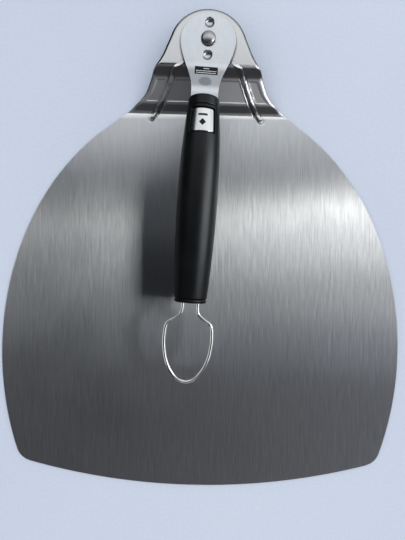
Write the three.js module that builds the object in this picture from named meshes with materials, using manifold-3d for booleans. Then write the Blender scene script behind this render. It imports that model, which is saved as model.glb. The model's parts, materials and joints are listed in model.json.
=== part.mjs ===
// Pizza peel with a folding handle, in millimetres, +Z up.
// The origin is on the blade's underside, in the middle of the line where the blade is widest. The
// blade's front edge points along -Y, and the handle is folded forward over the blade.
// Every Y in the dimensions below is measured from the handle's swivel axis, and the groups at the
// end of the file stand on that axis.

import * as THREE from 'three';
import { mergeVertices } from 'three/addons/utils/BufferGeometryUtils.js';
import Module from 'manifold-3d';

const wasm = await Module();
wasm.setup();

// Clearances
const STACK_GAP = 0.2; // between neighbours stacked on the swivel axis
const FIT_GAP = 0.3; // between a piece and the neighbour that holds it
const REACH = 400; // length of a cutting body that has to pass right through
const MARGIN = 1; // by which a cutting body stands over the body that it trims

const SWIVEL_Y = 251.6; // place of the swivel axis behind the origin

// Blade: one pressed stainless sheet
const SHEET = 1.2;
const BLADE_HALF_WIDTH = 170;
const BLADE_HALF_LENGTH = 216.8; // of the ellipse that the sides follow
const BLADE_CENTRE_Y = -SWIVEL_Y;
const FRONT_Y = -368.7;
const FRONT_RADIUS = 561;
const CORNER_TRIM = 9; // length taken off each side of a front corner

// Neck: a round platform, a steep riser, an inclined panel and a second riser
const PLATFORM_TOP = 23.8;
const PLATFORM_RADIUS = 31.7;
const PLATFORM_CENTRE_Y = -4.7;
const PLATFORM_ARC_END = THREE.MathUtils.degToRad(18);
const FLARE = [[33.3, -2.5], [36.8, -10.8], [41.4, -18.4], [45.3, -23.8], [48.1, -30], [51.4, -36.6],
  [56.6, -42.3], [64, -47.7], [71.6, -53.4]];
const SHOULDER_X = 80; // where the flare meets the ellipse
const PLATFORM_EDGE_Y = -20.3;
const PANEL_BACK = { y: -25, z: 16 };
const PANEL_FRONT = { y: -44.5, z: 7.6 };
const FOOT_Y = -49.5;
const NECK_BEND = 2.4;
const RIM_DEPTH = 2.6; // how far the turned-down rim reaches below the sheet
const RIM_END_Y = -43;
const BEAD_LINE = [[19, -15], [21.5, -18], [26, -21.5], [28.7, -24.5], [33.3, -34.2], [37.9, -43.4],
  [41, -47.3], [46.7, -55.2]]; // plan of one of the two stiffening beads
const BEAD_RADIUS = 2;
const BEAD_SINK = 0.5; // how far a bead's centre lies below the sheet's upper face
const BEAD_HIDDEN = { points: 2, sink: 1.6 }; // its start stays clear of the turning handle
const BEAD_END_INSET = 0.02; // by which a bead's round end is smaller than the bead
const DETENT_RADIUS = 13; // distance of the detents from the swivel axis
const DETENT_SIZE = 3.6;
const DETENT_DEPTH = 0.7;

// Swivel: a rivet with washers under the neck and a slip washer between neck and handle
const RIVET_RADIUS = 3;
const RIVET_HEAD_RADIUS = 6;
const RIVET_HEAD_HEIGHT = 3;
const RIVET_EDGE = 0.6; // height of the head's upright rim and width of the tail's chamfer
const RIVET_CROWN = 0.8; // share of the head's radius over which its dome stays nearly flat
const RIVET_TAIL = { radius: 5, height: 1.6 };
const SLIP_WASHER = { radius: 8.6, height: 0.6 };
const BACKING_WASHER = { radius: 8, height: 1.2 };
const SPRING_WASHER = { radius: 7, height: 0.6, cone: 0.7 };

// Handle plates: two spot-welded layers
const TANG_PLATE = 1.5;
const TOP_PLATE = 1.2;
const HEAD_RADIUS = 22;
const HEAD_CENTRE_Y = -1.4;
const HEAD_ARC_END = THREE.MathUtils.degToRad(-12);
const STRAP_HALF_WIDTH = 10.6;
const STRAP_START_Y = -46;
const NECK_PULL = { x: -2.7, y: -15.6, end: 18 }; // how the head's sides curve into the strap
const JOGGLE = { start: -23, end: -42, bend: 4 }; // step of the plates up to the grip's axis
const PIP = { tip: 1.8, rise: 0.2, inset: 0.1 }; // pressed down from the top plate into a detent
const DIMPLE = { floor: 1.4, slope: 0.2, side: 0.6, lip: 0.4 }; // the pip's hollow side
const TANG_HALF_WIDTH = 6;
const TANG_SHOULDER = 1.6; // length over which the tang narrows inside the collar
const TANG_TIP = 3; // trim of the tang's end corners
const TANG_LENGTH = 108; // inside the grip, from the mouth
const HANDLE_SWING = THREE.MathUtils.degToRad(-2.7); // the handle rests a little off the blade's axis

// Grip: a turned shape along -Y, measured from the mouth as length and radius
const GRIP_MOUTH_Y = -49.8;
const GRIP_AXIS_Z = 31;
const GRIP_LENGTH = 160;
const GRIP_SHAPE = [[0, 12.1], [9, 12.7], [30, 14.4], [52, 15.5], [80, 15.85], [116, 15.1], [148, 13.4],
  [160, 12.5]];
const COLLAR_LENGTH = 8;
const CAP_LENGTH = 3;
const EDGE_ROUND = 1.6;
const BORE_RADIUS = 7.6;
const END_BORE = { radius: 9.6, start: 138 };
const CAP_SPIGOT = 12;
const SUPPORT = { start: 100, length: 6 };

// Badge in its window, and the screw below it
const WINDOW = { start: 10.4, end: 30.4, halfWidthStart: 8.9, halfWidthEnd: 10.2, depth: 2 };
const BADGE = { start: 11.7, end: 29.2, halfWidthStart: 7.8, halfWidthEnd: 9.2, sunk: 0.5, thickness: 1.1 };
const SCREW = { along: 20.5, radius: 2, headRadius: 3.3, headHeight: 1.4, seatZ: 9.4, tipZ: -11 };
const SCREW_TIP = { trim: 0.8, height: 1.2 };
const SCREW_EDGE = { trim: 0.8, height: 0.5 };
const SCREW_SOCKET = { radius: 1.2, depth: 0.9 };

// Hanging loop: half of its centre line, as half width and distance beyond the grip
const WIRE_RADIUS = 1.45;
const LEG_SPREAD = 6;
const LEG_DEPTH = 17;
const HOOK = 2.2; // how far a leg's end turns outwards
const HOOK_BEND = { out: 0.3, rise: 0.2, height: 2.4 };
const LOOP_HALF = [[6, 0], [6, 5], [7.2, 9.2], [11.6, 13.2], [16.2, 16.2], [18.1, 20], [18.7, 27],
  [18.5, 34], [16.7, 44], [13, 53], [7, 60.2], [0, 62.6]];

const FINE = 40; // segments round the pieces on the swivel axis
const ROUND = 32; // segments round the pieces of the grip
const OUTLINE_STEPS = 12; // points on each curve of an outline
const BEND_STEPS = 4; // points on each rounded bend
const BEAD_STEPS = { along: 20, round: 5, end: [10, 6] };
const GRIP_STEPS = { curve: 56, shell: 18, patch: 6, collar: 3 };
const WIRE_STEPS = { along: 110, round: 4, hole: 24 };

function finish(color, roughness, metalness) {
  return new THREE.MeshStandardMaterial({ color, roughness, metalness });
}

const brushedSteel = finish(0xb9bbc0, 0.38, 1);
const polishedSteel = finish(0xd5d6da, 0.16, 1);
const springSteel = finish(0x8d8f94, 0.4, 1);
const chrome = finish(0xe4e6ea, 0.07, 1);
const blackNylon = finish(0x17181b, 0.5, 0);
const greyNylon = finish(0x3a3c40, 0.6, 0);
const whiteNylon = finish(0xe6e4dc, 0.55, 0);

// A closed geometry as a solid, with its faces turned outwards.
function solid(geometry) {
  const bare = geometry.index ? geometry.toNonIndexed() : geometry.clone();
  bare.deleteAttribute('normal');
  bare.deleteAttribute('uv');
  const merged = mergeVertices(bare, 1e-4);
  const place = merged.attributes.position.array;
  const corner = (i) => new THREE.Vector3().fromArray(place, 3 * i);
  const triangles = [];
  let volume = 0;
  for (let i = 0; i < merged.index.count; i += 3) {
    const [a, b, c] = [0, 1, 2].map((k) => merged.index.getX(i + k));
    if (a === b || b === c || c === a) continue;
    triangles.push([a, b, c]);
    volume += corner(a).dot(corner(b).cross(corner(c)));
  }
  const outward = volume > 0 ? triangles : triangles.map(([a, b, c]) => [a, c, b]);
  const mesh = new wasm.Mesh({
    numProp: 3,
    vertProperties: new Float32Array(place),
    triVerts: new Uint32Array(outward.flat()),
  });
  return new wasm.Manifold(mesh);
}

// A solid as a geometry with flat faces.
function surface(body) {
  const mesh = body.getMesh();
  const geometry = new THREE.BufferGeometry();
  geometry.setAttribute('position', new THREE.BufferAttribute(mesh.vertProperties, 3));
  geometry.setIndex(new THREE.BufferAttribute(mesh.triVerts, 1));
  geometry.computeVertexNormals();
  return geometry;
}

function addPiece(group, name, body, material) {
  const mesh = new THREE.Mesh(surface(body), material);
  mesh.name = name;
  group.add(mesh);
}

const points = (pairs) => pairs.map(([x, y]) => new THREE.Vector2(x, y));

const pairsOf = (line) => line.map((p) => [p.x, p.y]);

const withoutRepeats = (line) => line.filter((p, i) => i === 0 || p.distanceTo(line[i - 1]) > 0.05);

// The right half of an outline, from top to bottom, completed with its mirror image.
function mirrored(half) {
  const left = half.filter((p) => p.x > 1e-6).map((p) => new THREE.Vector2(-p.x, p.y));
  return [...half, ...left.reverse()];
}

// An upright prism over an outline in the XY plane.
function prism(outline, bottom, top) {
  const settings = { depth: top - bottom, bevelEnabled: false };
  const geometry = new THREE.ExtrudeGeometry(new THREE.Shape(outline), settings);
  return solid(geometry.translate(0, 0, bottom));
}

// A body with a constant section in the YZ plane, running across X.
function crossBar(section, halfWidth) {
  const settings = { depth: 2 * halfWidth, bevelEnabled: false };
  const geometry = new THREE.ExtrudeGeometry(new THREE.Shape(section), settings);
  const turn = new THREE.Matrix4().makeBasis(
    new THREE.Vector3(0, 1, 0),
    new THREE.Vector3(0, 0, 1),
    new THREE.Vector3(1, 0, 0),
  );
  return solid(geometry.applyMatrix4(turn).translate(-halfWidth, 0, 0));
}

// A turned body about the Z axis, from pairs of radius and height.
function turnedUpright(pairs, segments = ROUND) {
  return solid(new THREE.LatheGeometry(points(pairs), segments).rotateX(Math.PI / 2));
}

// A turned body about the grip's axis, from pairs of radius and length from the mouth.
function turnedAlong(pairs) {
  const profile = pairs.map(([radius, along]) => new THREE.Vector2(radius, -along));
  return solid(new THREE.LatheGeometry(profile, ROUND));
}

function disc(radius, bottom, top) {
  return turnedUpright([[0, bottom], [radius, bottom], [radius, top], [0, top]], FINE);
}

function ring(inner, outer, bottom, height) {
  const top = bottom + height;
  return turnedUpright([[inner, bottom], [outer, bottom], [outer, top], [inner, top], [inner, bottom]], FINE);
}

function block(low, high) {
  const size = high.map((value, axis) => value - low[axis]);
  const middle = high.map((value, axis) => (value + low[axis]) / 2);
  return solid(new THREE.BoxGeometry(...size).translate(...middle));
}

// A polyline with its inner corners rounded.
function rounded(line, trim) {
  const smooth = [line[0]];
  for (let i = 1; i < line.length - 1; i += 1) {
    const before = line[i].clone().add(line[i - 1].clone().sub(line[i]).setLength(trim));
    const after = line[i].clone().add(line[i + 1].clone().sub(line[i]).setLength(trim));
    smooth.push(...new THREE.QuadraticBezierCurve(before, line[i], after).getPoints(BEND_STEPS));
  }
  return [...smooth, line.at(-1)];
}

// A line shifted sideways: to the left of its direction for a positive distance.
function shifted(line, distance, loop = false) {
  return line.map((point, i) => {
    const before = loop ? line.at(i - 1) : line[Math.max(i - 1, 0)];
    const after = line[loop ? (i + 1) % line.length : Math.min(i + 1, line.length - 1)];
    const along = after.clone().sub(before).normalize();
    return new THREE.Vector2(point.x - along.y * distance, point.y + along.x * distance);
  });
}

// The band between two shifts of a line, as a closed outline.
const band = (line, low, high) => [...shifted(line, high), ...shifted(line, low).reverse()];

// ---- Blade ----

function bladeOutline() {
  const ellipseY = (x, side) =>
    BLADE_CENTRE_Y + side * BLADE_HALF_LENGTH * Math.sqrt(1 - (x / BLADE_HALF_WIDTH) ** 2);
  const frontY = (x) => FRONT_Y + FRONT_RADIUS - Math.sqrt(FRONT_RADIUS ** 2 - x ** 2);

  let cornerX = BLADE_HALF_WIDTH;
  while (ellipseY(cornerX, -1) > frontY(cornerX)) cornerX -= 0.01;
  const corner = new THREE.Vector2(cornerX, frontY(cornerX));
  const cornerAngle = Math.asin((corner.y - BLADE_CENTRE_Y) / BLADE_HALF_LENGTH);
  const trimAngle = CORNER_TRIM / BLADE_HALF_LENGTH;
  const shoulderAngle = Math.acos(SHOULDER_X / BLADE_HALF_WIDTH);

  const half = new THREE.Path();
  half.absarc(0, PLATFORM_CENTRE_Y, PLATFORM_RADIUS, Math.PI / 2, PLATFORM_ARC_END, true);
  half.splineThru([...points(FLARE), new THREE.Vector2(SHOULDER_X, ellipseY(SHOULDER_X, 1))]);
  half.absellipse(0, BLADE_CENTRE_Y, BLADE_HALF_WIDTH, BLADE_HALF_LENGTH,
    shoulderAngle, cornerAngle + trimAngle, true, 0);
  half.quadraticCurveTo(corner.x, corner.y, corner.x - CORNER_TRIM, frontY(corner.x - CORNER_TRIM));
  const frontAngle = Math.asin((corner.x - CORNER_TRIM) / FRONT_RADIUS);
  half.absarc(0, FRONT_Y + FRONT_RADIUS, FRONT_RADIUS, frontAngle - Math.PI / 2, -Math.PI / 2, true);
  return mirrored(withoutRepeats(half.getPoints(OUTLINE_STEPS)));
}

// The sheet's upper face along Y, from the platform down to the blade.
function neckLine() {
  const corners = [[REACH, PLATFORM_TOP], [PLATFORM_EDGE_Y, PLATFORM_TOP], [PANEL_BACK.y, PANEL_BACK.z],
    [PANEL_FRONT.y, PANEL_FRONT.z], [FOOT_Y, SHEET], [-REACH, SHEET]];
  return rounded(points(corners), NECK_BEND);
}

function heightOn(line, y) {
  const i = line.findIndex((point) => point.x <= y);
  const share = (y - line[i - 1].x) / (line[i].x - line[i - 1].x);
  return THREE.MathUtils.lerp(line[i - 1].y, line[i].y, share);
}

function bead(line, side) {
  const path = new THREE.CatmullRomCurve3(BEAD_LINE.map(([x, y], i) => {
    const sink = i < BEAD_HIDDEN.points ? BEAD_HIDDEN.sink : BEAD_SINK;
    return new THREE.Vector3(side * x, y, heightOn(line, y) - sink);
  }));
  const section = new THREE.Shape().absarc(0, 0, BEAD_RADIUS, 0, 2 * Math.PI);
  const { along, round, end } = BEAD_STEPS;
  const run = new THREE.ExtrudeGeometry(section, { steps: along, curveSegments: round, extrudePath: path });
  const tip = new THREE.SphereGeometry(BEAD_RADIUS - BEAD_END_INSET, ...end);
  return solid(run).add(solid(tip.translate(...path.getPoint(1).toArray())));
}

function bladeBody() {
  const outline = bladeOutline();
  const line = neckLine();
  const plan = prism(outline, -SHEET, PLATFORM_TOP + SHEET);
  let body = plan.intersect(crossBar(band(line, 0, SHEET), BLADE_HALF_WIDTH + MARGIN));

  const inner = prism(shifted(outline, -SHEET, true), -2 * SHEET, PLATFORM_TOP + 2 * SHEET);
  const neckZone = block([-REACH, RIM_END_Y, 0], [REACH, REACH, PLATFORM_TOP + SHEET]);
  const rimBand = crossBar(band(line, SHEET / 2, SHEET + RIM_DEPTH), BLADE_HALF_WIDTH);
  body = body.add(plan.subtract(inner).intersect(rimBand).intersect(neckZone));

  const beadRoom = crossBar(band(line, -2 * BEAD_RADIUS, SHEET / 2), BLADE_HALF_WIDTH);
  for (const side of [-1, 1]) body = body.add(bead(line, side).intersect(beadRoom));

  for (const y of [DETENT_RADIUS, -DETENT_RADIUS]) {
    const bulgeBottom = PLATFORM_TOP - SHEET - DETENT_DEPTH;
    const bulge = disc(DETENT_SIZE + SHEET / 2, bulgeBottom, PLATFORM_TOP - SHEET / 2);
    const dent = disc(DETENT_SIZE, PLATFORM_TOP - DETENT_DEPTH, PLATFORM_TOP + SHEET);
    body = body.add(bulge.translate(0, y, 0)).subtract(dent.translate(0, y, 0));
  }
  return body.subtract(disc(RIVET_RADIUS + STACK_GAP, 0, REACH));
}

// ---- Swivel ----

const WASHER_BORE = RIVET_RADIUS + STACK_GAP;
const NECK_UNDERSIDE = PLATFORM_TOP - SHEET;
const SLIP_BOTTOM = PLATFORM_TOP + STACK_GAP;
const TANG_BOTTOM = SLIP_BOTTOM + SLIP_WASHER.height + STACK_GAP;
const TOP_PLATE_BOTTOM = TANG_BOTTOM + TANG_PLATE + STACK_GAP;
const HEAD_BOTTOM = TOP_PLATE_BOTTOM + TOP_PLATE + STACK_GAP;
const BACKING_BOTTOM = NECK_UNDERSIDE - STACK_GAP - BACKING_WASHER.height;
const SPRING_TOP = BACKING_BOTTOM - STACK_GAP;
const SPRING_BOTTOM = SPRING_TOP - SPRING_WASHER.height - SPRING_WASHER.cone;
const TAIL_TOP = SPRING_BOTTOM - STACK_GAP;

function rivetBody() {
  const dome = new THREE.QuadraticBezierCurve(
    new THREE.Vector2(RIVET_HEAD_RADIUS, HEAD_BOTTOM + RIVET_EDGE),
    new THREE.Vector2(RIVET_HEAD_RADIUS * RIVET_CROWN, HEAD_BOTTOM + RIVET_HEAD_HEIGHT),
    new THREE.Vector2(0, HEAD_BOTTOM + RIVET_HEAD_HEIGHT),
  );
  const tailBottom = TAIL_TOP - RIVET_TAIL.height;
  return turnedUpright([
    [0, tailBottom],
    [RIVET_TAIL.radius - RIVET_EDGE, tailBottom],
    [RIVET_TAIL.radius, tailBottom + RIVET_EDGE],
    [RIVET_TAIL.radius, TAIL_TOP],
    [RIVET_RADIUS, TAIL_TOP],
    [RIVET_RADIUS, HEAD_BOTTOM],
    [RIVET_HEAD_RADIUS, HEAD_BOTTOM],
    ...pairsOf(dome.getPoints(OUTLINE_STEPS / 2)),
  ], FINE);
}

const slipWasher = () => ring(WASHER_BORE, SLIP_WASHER.radius, SLIP_BOTTOM, SLIP_WASHER.height);

const backingWasher = () => ring(WASHER_BORE, BACKING_WASHER.radius, BACKING_BOTTOM, BACKING_WASHER.height);

function springWasher() {
  const { radius, height, cone } = SPRING_WASHER;
  return turnedUpright([
    [WASHER_BORE, SPRING_BOTTOM],
    [radius, SPRING_BOTTOM + cone],
    [radius, SPRING_BOTTOM + cone + height],
    [WASHER_BORE, SPRING_BOTTOM + height],
    [WASHER_BORE, SPRING_BOTTOM],
  ], FINE);
}

// ---- Handle plates ----

// The right half of the pear-shaped head, from its top to the start of the strap.
function headHalf() {
  const half = new THREE.Path();
  half.absarc(0, HEAD_CENTRE_Y, HEAD_RADIUS, Math.PI / 2, HEAD_ARC_END, true);
  const neckX = HEAD_RADIUS * Math.cos(HEAD_ARC_END);
  const neckY = HEAD_CENTRE_Y + HEAD_RADIUS * Math.sin(HEAD_ARC_END);
  half.bezierCurveTo(neckX + NECK_PULL.x, neckY + NECK_PULL.y,
    STRAP_HALF_WIDTH, STRAP_START_Y + NECK_PULL.end, STRAP_HALF_WIDTH, STRAP_START_Y);
  return withoutRepeats(half.getPoints(OUTLINE_STEPS));
}

// A plate's upper face along Y, stepping up from the head to the grip's axis.
function joggledLine(headTop, gripTop) {
  const corners = [[REACH, headTop], [JOGGLE.start, headTop], [JOGGLE.end, gripTop], [-REACH, gripTop]];
  return rounded(points(corners), JOGGLE.bend);
}

function plateBody(tail, bottom, thickness, gripTop) {
  const plan = prism(mirrored([...headHalf(), ...tail]), 0, 2 * GRIP_AXIS_Z);
  const line = joggledLine(bottom + thickness, gripTop);
  const bar = crossBar(band(line, 0, thickness), HEAD_RADIUS + MARGIN);
  return plan.intersect(bar).subtract(disc(RIVET_RADIUS + STACK_GAP, 0, REACH));
}

const STRAP_END_Y = GRIP_MOUTH_Y - COLLAR_LENGTH + 1; // both plates keep their width into the collar
const TANG_TOP_AT_GRIP = GRIP_AXIS_Z + 0.4;

function tangBody() {
  const end = GRIP_MOUTH_Y - TANG_LENGTH;
  const tail = points([[STRAP_HALF_WIDTH, STRAP_END_Y], [TANG_HALF_WIDTH, STRAP_END_Y - TANG_SHOULDER],
    [TANG_HALF_WIDTH, end + TANG_TIP], [TANG_HALF_WIDTH - TANG_TIP, end]]);
  let body = plateBody(tail, TANG_BOTTOM, TANG_PLATE, TANG_TOP_AT_GRIP);
  for (const y of [DETENT_RADIUS, -DETENT_RADIUS]) {
    body = body.subtract(disc(DETENT_SIZE + MARGIN, 0, REACH).translate(0, y, 0));
  }
  return body.subtract(disc(SCREW.radius + FIT_GAP, 0, REACH).translate(0, GRIP_MOUTH_Y - SCREW.along, 0));
}

function topPlateBody() {
  const tail = points([[STRAP_HALF_WIDTH, STRAP_END_Y]]);
  const gripTop = TANG_TOP_AT_GRIP + STACK_GAP + TOP_PLATE;
  const top = TOP_PLATE_BOTTOM + TOP_PLATE;
  const pipBottom = SLIP_BOTTOM + STACK_GAP;
  let body = plateBody(tail, TOP_PLATE_BOTTOM, TOP_PLATE, gripTop);
  const pip = turnedUpright([
    [0, pipBottom],
    [PIP.tip, pipBottom],
    [DETENT_SIZE, TOP_PLATE_BOTTOM + PIP.rise],
    [DETENT_SIZE, top - PIP.inset],
    [0, top - PIP.inset],
  ]);
  const dimple = turnedUpright([
    [0, pipBottom + TOP_PLATE],
    [DIMPLE.floor, pipBottom + TOP_PLATE + DIMPLE.slope],
    [DETENT_SIZE - DIMPLE.side, top - DIMPLE.lip],
    [DETENT_SIZE, top + PIP.inset],
    [0, top + PIP.inset],
  ]);
  for (const y of [DETENT_RADIUS, -DETENT_RADIUS]) {
    body = body.add(pip.translate(0, y, 0)).subtract(dimple.translate(0, y, 0));
  }
  return body;
}

// ---- Grip ----

const gripCurve = new THREE.SplineCurve(points(GRIP_SHAPE)).getPoints(GRIP_STEPS.curve);

function gripRadius(along) {
  const i = Math.max(1, gripCurve.findIndex((point) => point.x >= along));
  const share = (along - gripCurve[i - 1].x) / (gripCurve[i].x - gripCurve[i - 1].x);
  return THREE.MathUtils.lerp(gripCurve[i - 1].y, gripCurve[i].y, share);
}

// Pairs of radius and length along the grip's surface, at a depth below it.
function gripRun(start, end, depth, steps) {
  return Array.from({ length: steps + 1 }, (_, i) => {
    const along = THREE.MathUtils.lerp(start, end, i / steps);
    return [gripRadius(along) - depth, along];
  });
}

// The upper half of a skin between two depths, limited to a tapering patch.
function patch(zone, outerDepth, innerDepth) {
  const [start, end] = [zone.start - 2 * MARGIN, zone.end + 2 * MARGIN];
  const outer = gripRun(start, end, outerDepth, GRIP_STEPS.patch);
  const inner = gripRun(start, end, innerDepth, GRIP_STEPS.patch).reverse();
  const skin = turnedAlong([...outer, ...inner, outer[0]]);
  const corners = points([[zone.halfWidthStart, -zone.start], [zone.halfWidthEnd, -zone.end]]);
  return skin.intersect(prism(mirrored(corners), 0, REACH));
}

function collarBody() {
  const front = gripRadius(0);
  const mouth = new THREE.QuadraticBezierCurve(
    new THREE.Vector2(front - EDGE_ROUND, 0),
    new THREE.Vector2(front, 0),
    new THREE.Vector2(front, EDGE_ROUND),
  );
  const body = turnedAlong([
    [0, 0],
    ...pairsOf(mouth.getPoints(BEND_STEPS)),
    ...gripRun(EDGE_ROUND + MARGIN, COLLAR_LENGTH, 0, GRIP_STEPS.collar),
    [0, COLLAR_LENGTH],
  ]);
  const slotHalf = STRAP_HALF_WIDTH + FIT_GAP;
  const slotTop = TANG_TOP_AT_GRIP + STACK_GAP + TOP_PLATE + FIT_GAP - GRIP_AXIS_Z;
  const slotBottom = TANG_TOP_AT_GRIP - TANG_PLATE - FIT_GAP - GRIP_AXIS_Z;
  return body.subtract(block([-slotHalf, -REACH, slotBottom], [slotHalf, REACH, slotTop]));
}

function shellBody() {
  const start = COLLAR_LENGTH + FIT_GAP;
  const end = GRIP_LENGTH - CAP_LENGTH - FIT_GAP;
  const body = turnedAlong([
    [BORE_RADIUS, start],
    ...gripRun(start, end, 0, GRIP_STEPS.shell),
    [END_BORE.radius, end],
    [END_BORE.radius, END_BORE.start],
    [BORE_RADIUS, END_BORE.start],
    [BORE_RADIUS, start],
  ]);
  const headRoom = disc(SCREW.headRadius + FIT_GAP, SCREW.seatZ - FIT_GAP, REACH);
  const shankRoom = disc(SCREW.radius + FIT_GAP, SCREW.tipZ - FIT_GAP, REACH);
  const screwRoom = headRoom.add(shankRoom).translate(0, -SCREW.along, 0);
  return body.subtract(patch(WINDOW, -GRIP_AXIS_Z, WINDOW.depth)).subtract(screwRoom);
}

function screwBody() {
  const head = SCREW.seatZ + SCREW.headHeight;
  return turnedUpright([
    [0, SCREW.tipZ],
    [SCREW.radius - SCREW_TIP.trim, SCREW.tipZ],
    [SCREW.radius, SCREW.tipZ + SCREW_TIP.height],
    [SCREW.radius, SCREW.seatZ],
    [SCREW.headRadius, SCREW.seatZ],
    [SCREW.headRadius, head - SCREW_EDGE.height],
    [SCREW.headRadius - SCREW_EDGE.trim, head],
    [SCREW_SOCKET.radius, head],
    [SCREW_SOCKET.radius, head - SCREW_SOCKET.depth],
    [0, head - SCREW_SOCKET.depth],
  ]).translate(0, -SCREW.along, 0);
}

function supportBody() {
  const { start, length } = SUPPORT;
  const outer = BORE_RADIUS - FIT_GAP;
  const body = turnedAlong([[0, start], [outer, start], [outer, start + length], [0, start + length]]);
  const slotHalf = TANG_HALF_WIDTH + FIT_GAP;
  const slotTop = TANG_TOP_AT_GRIP + FIT_GAP - GRIP_AXIS_Z;
  const slotBottom = TANG_TOP_AT_GRIP - TANG_PLATE - FIT_GAP - GRIP_AXIS_Z;
  return body.subtract(block([-slotHalf, -REACH, slotBottom], [slotHalf, REACH, slotTop]));
}

function capBody() {
  const start = GRIP_LENGTH - CAP_LENGTH;
  const rim = gripRadius(GRIP_LENGTH);
  const edge = new THREE.QuadraticBezierCurve(
    new THREE.Vector2(rim, GRIP_LENGTH - EDGE_ROUND),
    new THREE.Vector2(rim, GRIP_LENGTH),
    new THREE.Vector2(rim - EDGE_ROUND, GRIP_LENGTH),
  );
  let body = turnedAlong([
    [0, start - CAP_SPIGOT],
    [END_BORE.radius - FIT_GAP, start - CAP_SPIGOT],
    [END_BORE.radius - FIT_GAP, start],
    [gripRadius(start), start],
    ...pairsOf(edge.getPoints(BEND_STEPS)),
    [0, GRIP_LENGTH],
  ]);
  const holeRadius = WIRE_RADIUS + FIT_GAP;
  for (const x of [LEG_SPREAD, -LEG_SPREAD]) {
    const hole = new THREE.CylinderGeometry(holeRadius, holeRadius, REACH, WIRE_STEPS.hole);
    body = body.subtract(solid(hole.translate(x, -GRIP_LENGTH, 0)));
  }
  return body;
}

function loopBody() {
  const hook = [
    [LEG_SPREAD + HOOK, -LEG_DEPTH],
    [LEG_SPREAD + HOOK_BEND.out, -LEG_DEPTH + HOOK_BEND.rise],
    [LEG_SPREAD, -LEG_DEPTH + HOOK_BEND.height],
  ];
  const half = [...hook, ...LOOP_HALF];
  const right = half.map(([x, along]) => new THREE.Vector3(x, -GRIP_LENGTH - along, 0));
  const left = right.slice(0, -1).map((p) => new THREE.Vector3(-p.x, p.y, 0)).reverse();
  const path = new THREE.CatmullRomCurve3([...right, ...left], false, 'centripetal');
  const wire = new THREE.Shape().absarc(0, 0, WIRE_RADIUS, 0, 2 * Math.PI);
  const { along, round } = WIRE_STEPS;
  return solid(new THREE.ExtrudeGeometry(wire, { steps: along, curveSegments: round, extrudePath: path }));
}

// ---- Assembly ----

const peel = new THREE.Group();

const blade = new THREE.Group();
blade.position.y = SWIVEL_Y;
addPiece(blade, 'blade', bladeBody(), brushedSteel);
addPiece(blade, 'pivot_rivet', rivetBody(), polishedSteel);
addPiece(blade, 'slip_washer', slipWasher(), whiteNylon);
addPiece(blade, 'backing_washer', backingWasher(), brushedSteel);
addPiece(blade, 'spring_washer', springWasher(), springSteel);
peel.add(blade);

const handle = new THREE.Group();
handle.position.y = SWIVEL_Y;
handle.rotation.z = HANDLE_SWING;
addPiece(handle, 'top_plate', topPlateBody(), polishedSteel);
addPiece(handle, 'tang_plate', tangBody(), polishedSteel);
peel.add(handle);

const grip = new THREE.Group();
grip.position.set(0, GRIP_MOUTH_Y, GRIP_AXIS_Z);
addPiece(grip, 'grip_collar', collarBody(), blackNylon);
addPiece(grip, 'grip_shell', shellBody(), blackNylon);
addPiece(grip, 'badge', patch(BADGE, BADGE.sunk, BADGE.sunk + BADGE.thickness), chrome);
addPiece(grip, 'grip_screw', screwBody(), springSteel);
addPiece(grip, 'tang_support', supportBody(), greyNylon);
addPiece(grip, 'end_cap', capBody(), blackNylon);
addPiece(grip, 'hang_loop', loopBody(), polishedSteel);
handle.add(grip);

export default peel;
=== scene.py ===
"""Looks of the pizza peel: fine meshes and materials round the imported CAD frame, in metres.

Shapes are worked out in millimetres in two local frames that share the swivel axis as origin:
the blade's frame, where the front edge points along -Y, and the handle's frame, where the grip
runs along -Y and which the rest pose turns a little about the axis.
"""

import json
import math

import bpy
import numpy as np
from mathutils import Matrix, Vector

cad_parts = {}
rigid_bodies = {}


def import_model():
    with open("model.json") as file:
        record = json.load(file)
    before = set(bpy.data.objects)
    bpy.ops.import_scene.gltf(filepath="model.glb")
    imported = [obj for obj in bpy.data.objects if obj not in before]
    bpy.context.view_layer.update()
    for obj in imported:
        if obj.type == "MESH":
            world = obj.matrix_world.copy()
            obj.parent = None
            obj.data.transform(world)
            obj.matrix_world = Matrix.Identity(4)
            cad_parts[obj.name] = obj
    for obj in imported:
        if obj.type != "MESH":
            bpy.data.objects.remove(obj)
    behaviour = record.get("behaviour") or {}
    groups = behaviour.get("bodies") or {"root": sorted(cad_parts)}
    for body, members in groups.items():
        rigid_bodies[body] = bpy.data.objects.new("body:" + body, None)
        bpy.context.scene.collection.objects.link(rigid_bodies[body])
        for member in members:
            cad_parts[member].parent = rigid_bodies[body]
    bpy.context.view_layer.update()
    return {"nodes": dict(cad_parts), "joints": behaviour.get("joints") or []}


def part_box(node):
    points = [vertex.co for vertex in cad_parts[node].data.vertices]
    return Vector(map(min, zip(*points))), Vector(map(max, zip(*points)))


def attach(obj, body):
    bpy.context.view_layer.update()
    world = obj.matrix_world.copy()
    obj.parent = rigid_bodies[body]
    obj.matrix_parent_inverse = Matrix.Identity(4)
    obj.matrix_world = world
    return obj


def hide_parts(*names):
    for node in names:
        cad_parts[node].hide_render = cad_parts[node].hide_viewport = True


MM = 0.001

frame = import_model()

JOINT = frame["joints"][0]
ROOT, SWUNG = JOINT["parent"], JOINT["child"]
PIVOT = Vector((JOINT["pos_m"][0], JOINT["pos_m"][1], 0.0))
SUPPORT_LOW, SUPPORT_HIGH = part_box("tang_support")
SUPPORT = (SUPPORT_LOW + SUPPORT_HIGH) / 2 - PIVOT
HANDLE_SWING = math.atan2(SUPPORT.x, -SUPPORT.y)
BLADE_FRAME = Matrix.Translation(PIVOT)
HANDLE_FRAME = BLADE_FRAME @ Matrix.Rotation(HANDLE_SWING, 4, "Z")
AXIS_Z = SUPPORT.z / MM

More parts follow.
